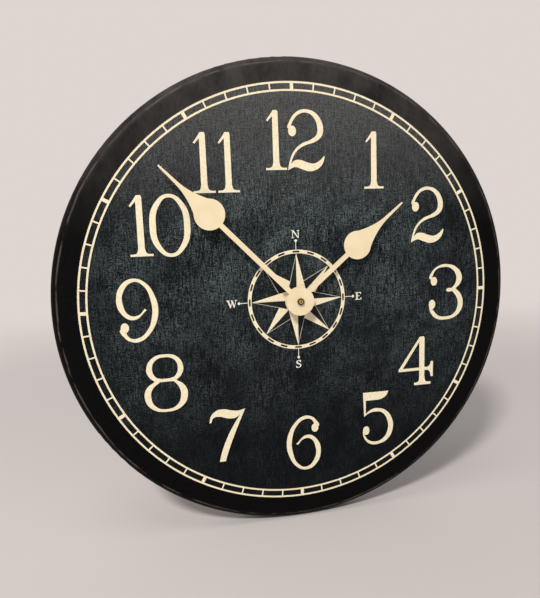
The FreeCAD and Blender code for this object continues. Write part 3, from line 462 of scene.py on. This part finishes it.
rose_long, rose_waist, low_waist = 30.4, 6.1, 7.0
shaded_share = 0.885
cream_star, grey_star, dark_star = bmesh.new(), bmesh.new(), bmesh.new()
for level, start in ((0.02, 45), (0.11, 0)):
    for quarter in range(4):
        way = start + 90 * quarter
        near = rose_waist if start == 0 else low_waist
        point_half(cream_star, rose_long, (near, near), way, level + 0.03)
        point_half(grey_star, rose_long, (-near, near), way, level)
        point_half(dark_star, rose_long, (-near, near), way, level + 0.03, shaded_share)
finish_piece(cream_star, "rose_light_halves", cream_ink)
finish_piece(grey_star, "rose_outlined_halves", grey_ink)
finish_piece(dark_star, "rose_shaded_halves", dark_ink)

# %% The ring of the rose, its dashes, stalks and letters
ring_inner, ring_outer = 30.35, 32.75
dash_inner, dash_outer, dash_half = 31.0, 32.1, 4.1
stalk_inner, stalk_outer, stalk_wide = 32.6, 38.0, 0.42
bead_centre, bead_wide = 38.5, 1.75

gathered = bmesh.new()
ring(gathered, ring_inner, ring_outer, 0.02, steps=160)
finish_piece(gathered, "rose_ring", cream_ink)

gathered = bmesh.new()
for dash in range(20):
    bent = [(math.radians(a), dash_inner) for a in (-dash_half, 0, dash_half)]
    bent += [(math.radians(a), dash_outer) for a in (dash_half, 0, -dash_half)]
    shape = [(r * math.sin(a), r * math.cos(a)) for a, r in bent]
    print_outlines(gathered, [corner(*shape)], 0.10, turn=-18 * dash)
finish_piece(gathered, "rose_dashes", dark_ink)

gathered = bmesh.new()
for way in range(0, 360, 90):
    bar(gathered, stalk_inner, stalk_outer, stalk_wide, 0.02, way)
for way in range(0, 360, 90):
    a = math.radians(way)
    bead = drop(bead_centre * math.sin(a), bead_centre * math.cos(a), bead_wide, bead_wide)
    print_outlines(gathered, [bead], 0.05)
finish_piece(gathered, "rose_stalks", pale_ink)

LETTERS = {
    "N": (-2.9, 40.2, [corner((0.85, 0.3), (1.25, 0.3), (1.25, 4.8), (0.85, 4.8)),
                       corner((4.5, 0.0), (4.95, 0.0), (4.95, 4.9), (4.5, 4.9)),
                       corner((0.6, 4.9), (1.8, 4.9), (4.95, 0.0), (4.3, 0.0)),
                       corner((0.0, 4.6), (1.5, 4.6), (1.5, 5.0), (0.0, 5.0)),
                       corner((3.8, 4.6), (5.6, 4.6), (5.6, 5.0), (3.8, 5.0)),
                       corner((0.2, 0.0), (1.9, 0.0), (1.9, 0.4), (0.2, 0.4))]),
    "E": (40.0, -2.6, [corner((0.85, 0), (1.85, 0), (1.85, 5.1), (0.85, 5.1)),
                       corner((0.1, 0), (4.4, 0), (4.6, 1.4), (4.2, 1.4), (3.6, 0.45), (0.1, 0.45)),
                       corner((0.1, 4.65), (3.4, 4.65), (3.9, 3.8), (4.3, 3.8), (4.2, 5.1), (0.1, 5.1)),
                       corner((1.8, 2.35), (3.2, 2.35), (3.2, 2.8), (1.8, 2.8))]),
    "S": (-2.1, -45.7, [smooth((3.4, 4.9), (1.8, 5.2), (0.45, 4.3), (0.75, 2.9), (2.5, 2.0), (2.8, 1.0),
                               (1.7, 0.4),
                               (0.5, 1.4)) + corner((0.2, 1.5), (0.2, 0.1))
                        + smooth((1.8, 0.0), (3.6, 0.9), (3.4, 2.4), (1.7, 3.4), (1.2, 4.3), (2.0, 4.8),
                                 (3.0, 3.9))
                        + corner((3.4, 3.8))]),
    "W": (-46.8, -2.5, [corner((0.6, 4.9), (1.7, 4.9), (3.1, 1.1), (2.5, 0)),
                        corner((2.5, 0), (2.95, 0), (4.1, 4.3), (3.7, 4.3)),
                        corner((3.1, 4.9), (4.2, 4.9), (5.45, 1.2), (4.9, 0)),
                        corner((4.9, 0), (5.3, 0), (6.6, 4.8), (6.2, 4.8)),
                        corner((0.1, 4.55), (2.3, 4.55), (2.3, 4.95), (0.1, 4.95)),
                        corner((5.6, 4.55), (7.2, 4.55), (7.2, 4.95), (5.6, 4.95))]),
}
for letter, (x, y, strokes) in LETTERS.items():
    gathered = bmesh.new()
    for layer, stroke in enumerate(strokes):
        print_outlines(gathered, [stroke], 0.02 + 0.006 * layer, (x, y))
    finish_piece(gathered, "letter_" + letter, pale_ink)
print("rose printed, letters:", sorted(LETTERS))

# %% [markdown]
# ## Finishes
# The dial's paint is made to look like old slate laid over canvas: a charcoal ground, cloudy teal patches,
# a fine woven grain, dark vertical cracks and a few pale scratches. All of it is worked out from each
# point's place on the board, in millimetres, so that it stays put and its scale is known.

# %% Tools for finishes that know their place
def millimetres(material):
    """Each point's place on the clock, in millimetres."""
    place = node(material, "TexCoord")
    scaled = node(material, "VectorMath", operation="SCALE")
    scaled.inputs["Scale"].default_value = 1000
    link(material, place.outputs["Object"], scaled.inputs[0])
    return scaled.outputs[0]


def stretch(material, vector, factors, turn=0.0):
    """The same places, squeezed along some axes and turned about the spindle."""
    turned = node(material, "Mapping")
    turned.vector_type = "POINT"
    turned.inputs["Rotation"].default_value = (0, math.radians(turn), 0)
    pulled = node(material, "VectorMath", operation="MULTIPLY")
    pulled.inputs[1].default_value = factors
    link(material, vector, turned.inputs["Vector"])
    link(material, turned.outputs[0], pulled.inputs[0])
    return pulled.outputs[0]


def noise(material, vector, scale, detail=3.0, roughness=0.55):
    made = node(material, "TexNoise", Scale=scale, Detail=detail, Roughness=roughness)
    link(material, vector, made.inputs["Vector"])
    return made.outputs["Fac"]


def ramp(material, value, low, high, start=0.0, end=1.0):
    """Turn values from low to high into start to end, and hold them outside."""
    made = node(material, "MapRange")
    made.clamp = True
    for name, number in (("From Min", low), ("From Max", high), ("To Min", start), ("To Max", end)):
        made.inputs[name].default_value = number
    link(material, value, made.inputs["Value"])
    return made.outputs["Result"]


def maths(material, operation, first, second=None):
    made = node(material, "Math", operation=operation)
    for socket, value in zip(made.inputs, (first, second)):
        if value is None:
            continue
        if isinstance(value, (int, float)):
            socket.default_value = value
        else:
            link(material, value, socket)
    return made.outputs[0]


def times(material, first, second):
    return maths(material, "MULTIPLY", first, second)


def apart(material, value, middle):
    """How far a value is from a middle one, on either side."""
    return maths(material, "ABSOLUTE", maths(material, "SUBTRACT", value, middle))


def blend_colour(material, amount, under, over, mode="MIX"):
    """Lay one colour over another by an amount from 0 to 1."""
    made = node(material, "Mix", data_type="RGBA", blend_type=mode)
    for socket, value in ((made.inputs["Factor"], amount), (made.inputs[6], under), (made.inputs[7], over)):
        if isinstance(value, (int, float)):
            socket.default_value = value
        elif isinstance(value, tuple):
            socket.default_value = (*value, 1)
        else:
            link(material, value, socket)
    return made.outputs[2]


def bump(material, shader, height, strength, distance_mm):
    made = node(material, "Bump")
    made.inputs["Strength"].default_value = strength
    made.inputs["Distance"].default_value = distance_mm * MM
    link(material, height, made.inputs["Height"])
    link(material, made.outputs[0], shader.inputs["Normal"])


def paint(material, *names):
    """Give a finish to some of the solid pieces."""
    for name in names:
        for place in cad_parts[name].material_slots:
            place.material = material


# %% The dial: ground, clouds and weave
charcoal, slate = (0.0040, 0.0062, 0.0076), (0.0170, 0.0245, 0.0280)
dusty_teal, violet_stain = (0.048, 0.062, 0.066), (0.026, 0.027, 0.036)
smoke_black, dark_gap, pale_thread = (0.0065, 0.0075, 0.0085), (0.0015, 0.0020, 0.0026), (0.155, 0.185, 0.186)

dial, dial_shader = new_material("slate_dial", (0.03, 0.035, 0.036), 0.5)
spot = millimetres(dial)
axes = node(dial, "SeparateXYZ")
link(dial, spot, axes.inputs[0])
across, depth, up = axes.outputs

clouds = noise(dial, spot, 0.022, 4.0, 0.6)
ground = blend_colour(dial, ramp(dial, clouds, 0.36, 0.64), charcoal, slate)
patches = noise(dial, stretch(dial, spot, (1.3, 1, 0.8)), 0.045, 6.0, 0.7)
ground = blend_colour(dial, ramp(dial, patches, 0.46, 0.68, 0, 0.9), ground, dusty_teal)
stain = noise(dial, spot, 0.014, 2.0)
ground = blend_colour(dial, ramp(dial, stain, 0.5, 0.66, 0, 0.55), ground, violet_stain)
smoke = noise(dial, stretch(dial, spot, (1, 1, 0.4)), 0.07, 3.0)
ground = blend_colour(dial, ramp(dial, smoke, 0.52, 0.72, 0, 0.7), ground, smoke_black)

threads = []
for pull, share in (((1.0, 1, 0.13), 0.6), ((0.2, 1, 1.0), 0.4), ((1.0, 1, 1.0), 1.0)):
    thread = noise(dial, stretch(dial, spot, pull), 1.15, 3.0, 0.7)
    threads.append(times(dial, thread, share))
weave = maths(dial, "ADD", maths(dial, "ADD", threads[0], threads[1]), threads[2])
thick = ramp(dial, noise(dial, spot, 0.05, 3.0), 0.35, 0.62, 0.25, 1)
light_threads = times(dial, ramp(dial, weave, 0.97, 1.17), thick)
ground = blend_colour(dial, times(dial, light_threads, 0.85), ground, pale_thread)
ground = blend_colour(dial, ramp(dial, weave, 1.01, 0.86, 0, 0.9), ground, dark_gap)

# %% The dial: cracks and scratches
crack_black, scratch_grey = (0.003, 0.0035, 0.004), (0.10, 0.10, 0.095)
veins = noise(dial, stretch(dial, spot, (1.0, 1, 0.13)), 0.16, 4.0, 0.7)
crack = ramp(dial, apart(dial, veins, 0.5), 0.0, 0.030, 1, 0)
broken = noise(dial, spot, 0.03, 2.0)
crack = times(dial, crack, ramp(dial, broken, 0.42, 0.55))
ground = blend_colour(dial, crack, ground, crack_black)

lines = noise(dial, stretch(dial, spot, (0.02, 1, 1.0), 24), 0.3, 2.0)
scratch = ramp(dial, apart(dial, lines, 0.60), 0.0, 0.009, 1, 0)
scratch = times(dial, scratch, ramp(dial, noise(dial, spot, 0.02, 2.0), 0.47, 0.58))
ground = blend_colour(dial, times(dial, scratch, 0.7), ground, scratch_grey)

# %% [markdown]
# The picture darkens towards its own edge, painted shade darkens its foot and a painted highlight makes its
# top lighter. It ends at the outer ring. Beyond it the board is plain black paint, with a painted sheen at
# the top.

# %% The dial: painted shade, painted highlight and sheen, and the black rim
picture_end, rim_start = 136.6, 137.2
edge_darkening_and_shade, highlight_slate = (0.0022, 0.0028, 0.0036), (0.125, 0.124, 0.121)
deep_black, dusty_black, sheen_black = (0.0009, 0.0009, 0.0010), (0.0028, 0.0026, 0.0025), (0.062, 0.056,
                                                                                           0.053)

radius = maths(dial, "SQRT", maths(dial, "ADD", times(dial, across, across), times(dial, up, up)))
on_rim = ramp(dial, radius, picture_end, rim_start)
# Painted shade: the picture is darkened towards its foot, and also towards its own edge.
lower = ramp(dial, up, 30, -95, 0, 0.86)
edge_darkening_and_foot_shade = maths(dial, "MAXIMUM", ramp(dial, radius, 75, 137, 0, 0.66), lower)
ground = blend_colour(dial, edge_darkening_and_foot_shade, ground, edge_darkening_and_shade)
# Painted highlight: the top of the picture is made lighter, more where the weave stands up.
painted_top_highlight = times(dial, ramp(dial, up, 50, 130), ramp(dial, weave, 0.80, 1.15, 0.25, 1))
ground = blend_colour(dial, times(dial, painted_top_highlight, 0.85), ground, highlight_slate)
rim_dust = ramp(dial, noise(dial, spot, 0.5, 3.0), 0.35, 0.75)
rim_black = blend_colour(dial, rim_dust, deep_black, dusty_black)
# Painted sheen: the black rim is made lighter towards the top, in patches.
painted_rim_sheen = times(dial, ramp(dial, up, 45, 150), ramp(dial, patches, 0.35, 0.62, 0.3, 1))
rim_black = blend_colour(dial, times(dial, painted_rim_sheen, 0.9), rim_black, sheen_black)
colour = blend_colour(dial, on_rim, ground, rim_black)

# %% [markdown]
# Where the front edge begins to turn, a thin broken brown line runs through the black. The back and the
# holes are bare fibreboard. They are told apart from the painted face by their depth in the board.

# %% The dial: brown edge line, bare board and gloss
edge_turns, bare_inside = 148.6, 140
edge_line_brown, fibre_dark, fibre_light = (0.10, 0.080, 0.066), (0.27, 0.17, 0.095), (0.42, 0.29, 0.175)
front, rear = face_y / MM, board_high.y / MM

wander = times(dial, maths(dial, "SUBTRACT", noise(dial, spot, 0.08, 3.0), 0.5), 1.6)
edge_line_at = apart(dial, maths(dial, "ADD", radius, wander), edge_turns)
edge_line = times(dial, ramp(dial, edge_line_at, 0.15, 0.7, 1, 0), ramp(dial, noise(dial, spot, 0.12, 3.0), 0.38,
                                                                  0.6))
edge_line = times(dial, edge_line, ramp(dial, depth, front + 2.0, front + 3.0, 1, 0))
colour = blend_colour(dial, times(dial, edge_line, 0.75), colour, edge_line_brown)

fibre = noise(dial, spot, 2.2, 4.0, 0.7)
bare_board = blend_colour(dial, ramp(dial, fibre, 0.3, 0.7), fibre_dark, fibre_light)
is_back = ramp(dial, depth, rear - 1.0, rear - 0.7)
inside = times(dial, ramp(dial, radius, bare_inside, bare_inside + 0.5, 1, 0),
               ramp(dial, depth, front + 0.5, front + 0.8))
bare = maths(dial, "MAXIMUM", is_back, inside)
link(dial, blend_colour(dial, bare, colour, bare_board), dial_shader.inputs["Base Color"])

gloss = blend_colour(dial, on_rim, ramp(dial, weave, 0.8, 1.2, 0.58, 0.70),
                     ramp(dial, rim_dust, 0, 1, 0.46, 0.56))
link(dial, blend_colour(dial, bare, gloss, (0.85, 0.85, 0.85)), dial_shader.inputs["Roughness"])
dial_shader.inputs["Specular IOR Level"].default_value = 0.06
relief = times(dial, weave, ramp(dial, radius, picture_end, rim_start, 1, 0.12))
bump(dial, dial_shader, relief, 0.35, 0.12)
paint(dial, "dial_board")
print("dial finished, nodes:", len(dial.node_tree.nodes))

# %% [markdown]
# ## Hands
# The hands are stamped sheet metal, sprayed a cream that is a shade browner than the print. Spray leaves a
# very fine orange peel. The paint also thins on the stamped edges, which is not drawn.

# %% Hand paint and the small metal parts
def sprayed(name, light, dark, roughness, peel=0.5):
    """Sprayed or moulded colour with a faint cloud and an orange peel."""
    material, shader = new_material(name, light, roughness)
    spot = millimetres(material)
    cloud = noise(material, spot, 0.09, 3.0)
    link(material, blend_colour(material, ramp(material, cloud, 0.35, 0.65), dark, light),
         shader.inputs["Base Color"])
    skin = noise(material, spot, peel, 2.0)
    link(material, ramp(material, noise(material, spot, peel * 2, 2.0), 0.3, 0.7, roughness - 0.05, roughness
                        + 0.07),
         shader.inputs["Roughness"])
    bump(material, shader, skin, 0.25, 0.05)
    return material, shader


def turned_metal(name, light, dark, roughness, grain=(1, 14, 1)):
    """Metal with fine tool marks: a noise drawn out along one way."""
    material, shader = new_material(name, light, roughness, 1.0)
    spot = millimetres(material)
    marks = noise(material, stretch(material, spot, grain), 1.2, 3.0)
    link(material, blend_colour(material, ramp(material, marks, 0.3, 0.7), dark, light),
         shader.inputs["Base Color"])
    link(material, ramp(material, marks, 0.3, 0.7, roughness - 0.08, roughness + 0.12),
         shader.inputs["Roughness"])
    bump(material, shader, marks, 0.15, 0.02)
    return material


hand_paint, hand_shader = sprayed("hand_cream", (0.89, 0.75, 0.49), (0.84, 0.69, 0.44), 0.48, 1.6)
hand_shader.inputs["Specular IOR Level"].default_value = 0.35
paint(hand_paint, "hour_hand", "minute_hand")
paint(turned_metal("dark_bronze", (0.17, 0.085, 0.038), (0.07, 0.034, 0.016), 0.42), "hand_nut",
      "seconds_arbor")
brass = turned_metal("brass", (0.79, 0.58, 0.26), (0.60, 0.42, 0.17), 0.3)
paint(brass, "threaded_bush", "brass_washer", "mounting_nut", "hour_collar", "minute_collar", "minute_arbor")
steel = turned_metal("steel", (0.60, 0.61, 0.63), (0.42, 0.43, 0.45), 0.33)
paint(steel, "clutch_spring", "contact_plus", "contact_minus", "stator", "coil_core")

# %% [markdown]
# ## The back
# Black moulded plastic for the movement, milky plastic for the wheels, zinc for the hanger, rubber for the
# bumpers, and raw fibreboard round them. Each has its own grain.

# %% Plastics, zinc, rubber, copper and the circuit
case_black = sprayed("case_black", (0.022, 0.022, 0.024), (0.014, 0.014, 0.015), 0.52, 1.1)[0]
paint(case_black, "movement_case", "rear_cover")
milky, milky_shader = sprayed("milky_plastic", (0.80, 0.79, 0.73), (0.72, 0.71, 0.65), 0.38, 0.4)
milky_shader.inputs["Subsurface Weight"].default_value = 0.08
milky_shader.inputs["Subsurface Radius"].default_value = (0.001, 0.001, 0.001)
paint(milky, "middle_plate", "coil_bobbin", "rotor_pinion", "intermediate_wheel", "seconds_wheel",
      "third_wheel",
      "clutch_wheel", "reduction_wheel", "hour_wheel", "setting_knob")
zinc = turned_metal("zinc", (0.72, 0.73, 0.74), (0.50, 0.52, 0.55), 0.36, (0.3, 1, 6))
paint(zinc, "hanger_strap", "hanger_screws")
rubber = sprayed("rubber", (0.020, 0.020, 0.021), (0.012, 0.012, 0.012), 0.8, 0.8)[0]
paint(rubber, "wall_bumpers", "rubber_gasket")
paint(turned_metal("copper_wire", (0.80, 0.33, 0.13), (0.48, 0.17, 0.06), 0.32, (9, 0.4, 0.4)),
      "coil_winding")
paint(sprayed("circuit_green", (0.03, 0.16, 0.06), (0.02, 0.11, 0.045), 0.35, 0.3)[0], "circuit_board")
paint(sprayed("cast_resin", (0.012, 0.012, 0.013), (0.008, 0.008, 0.009), 0.25, 0.5)[0], "chip_cap")
paint(turned_metal("plated_can", (0.82, 0.83, 0.85), (0.68, 0.69, 0.72), 0.18), "crystal_can",
      "battery_button")
paint(turned_metal("magnet", (0.20, 0.20, 0.21), (0.12, 0.12, 0.13), 0.45, (1, 1, 1)), "rotor_magnet")

# %% [markdown]
# The battery has no name on it: a plain green jacket with a gold band and a bare steel rim at each end,
# divided by their place along the cell.

# %% Battery jacket
jacket, jacket_shader = new_material("battery_jacket", (0.05, 0.22, 0.10), 0.3)
spot = millimetres(jacket)
axes = node(jacket, "SeparateXYZ")
link(jacket, spot, axes.inputs[0])
cell_low, cell_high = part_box("battery_can")
middle = (cell_low.x + cell_high.x) / 2 / MM
half = (cell_high.x - cell_low.x) / 2 / MM
end = ramp(jacket, apart(jacket, axes.outputs[0], middle), half - 1.3, half - 1.1)
band_from_end, band_half = 9, 4.9
band = ramp(jacket, apart(jacket, axes.outputs[0], middle + half - band_from_end), band_half, band_half
            + 0.1, 1, 0)
green_dark, green_light = (0.030, 0.16, 0.075), (0.045, 0.20, 0.095)
gold, bare_steel = (0.62, 0.47, 0.20), (0.62, 0.63, 0.65)
green = blend_colour(jacket, ramp(jacket, noise(jacket, spot, 0.2, 2.0), 0.4, 0.6), green_dark, green_light)
cover = blend_colour(jacket, band, green, gold)
link(jacket, blend_colour(jacket, end, cover, bare_steel), jacket_shader.inputs["Base Color"])
link(jacket, end, jacket_shader.inputs["Metallic"])
bump(jacket, jacket_shader, noise(jacket, spot, 0.5, 2.0), 0.1, 0.05)
paint(jacket, "battery_can")
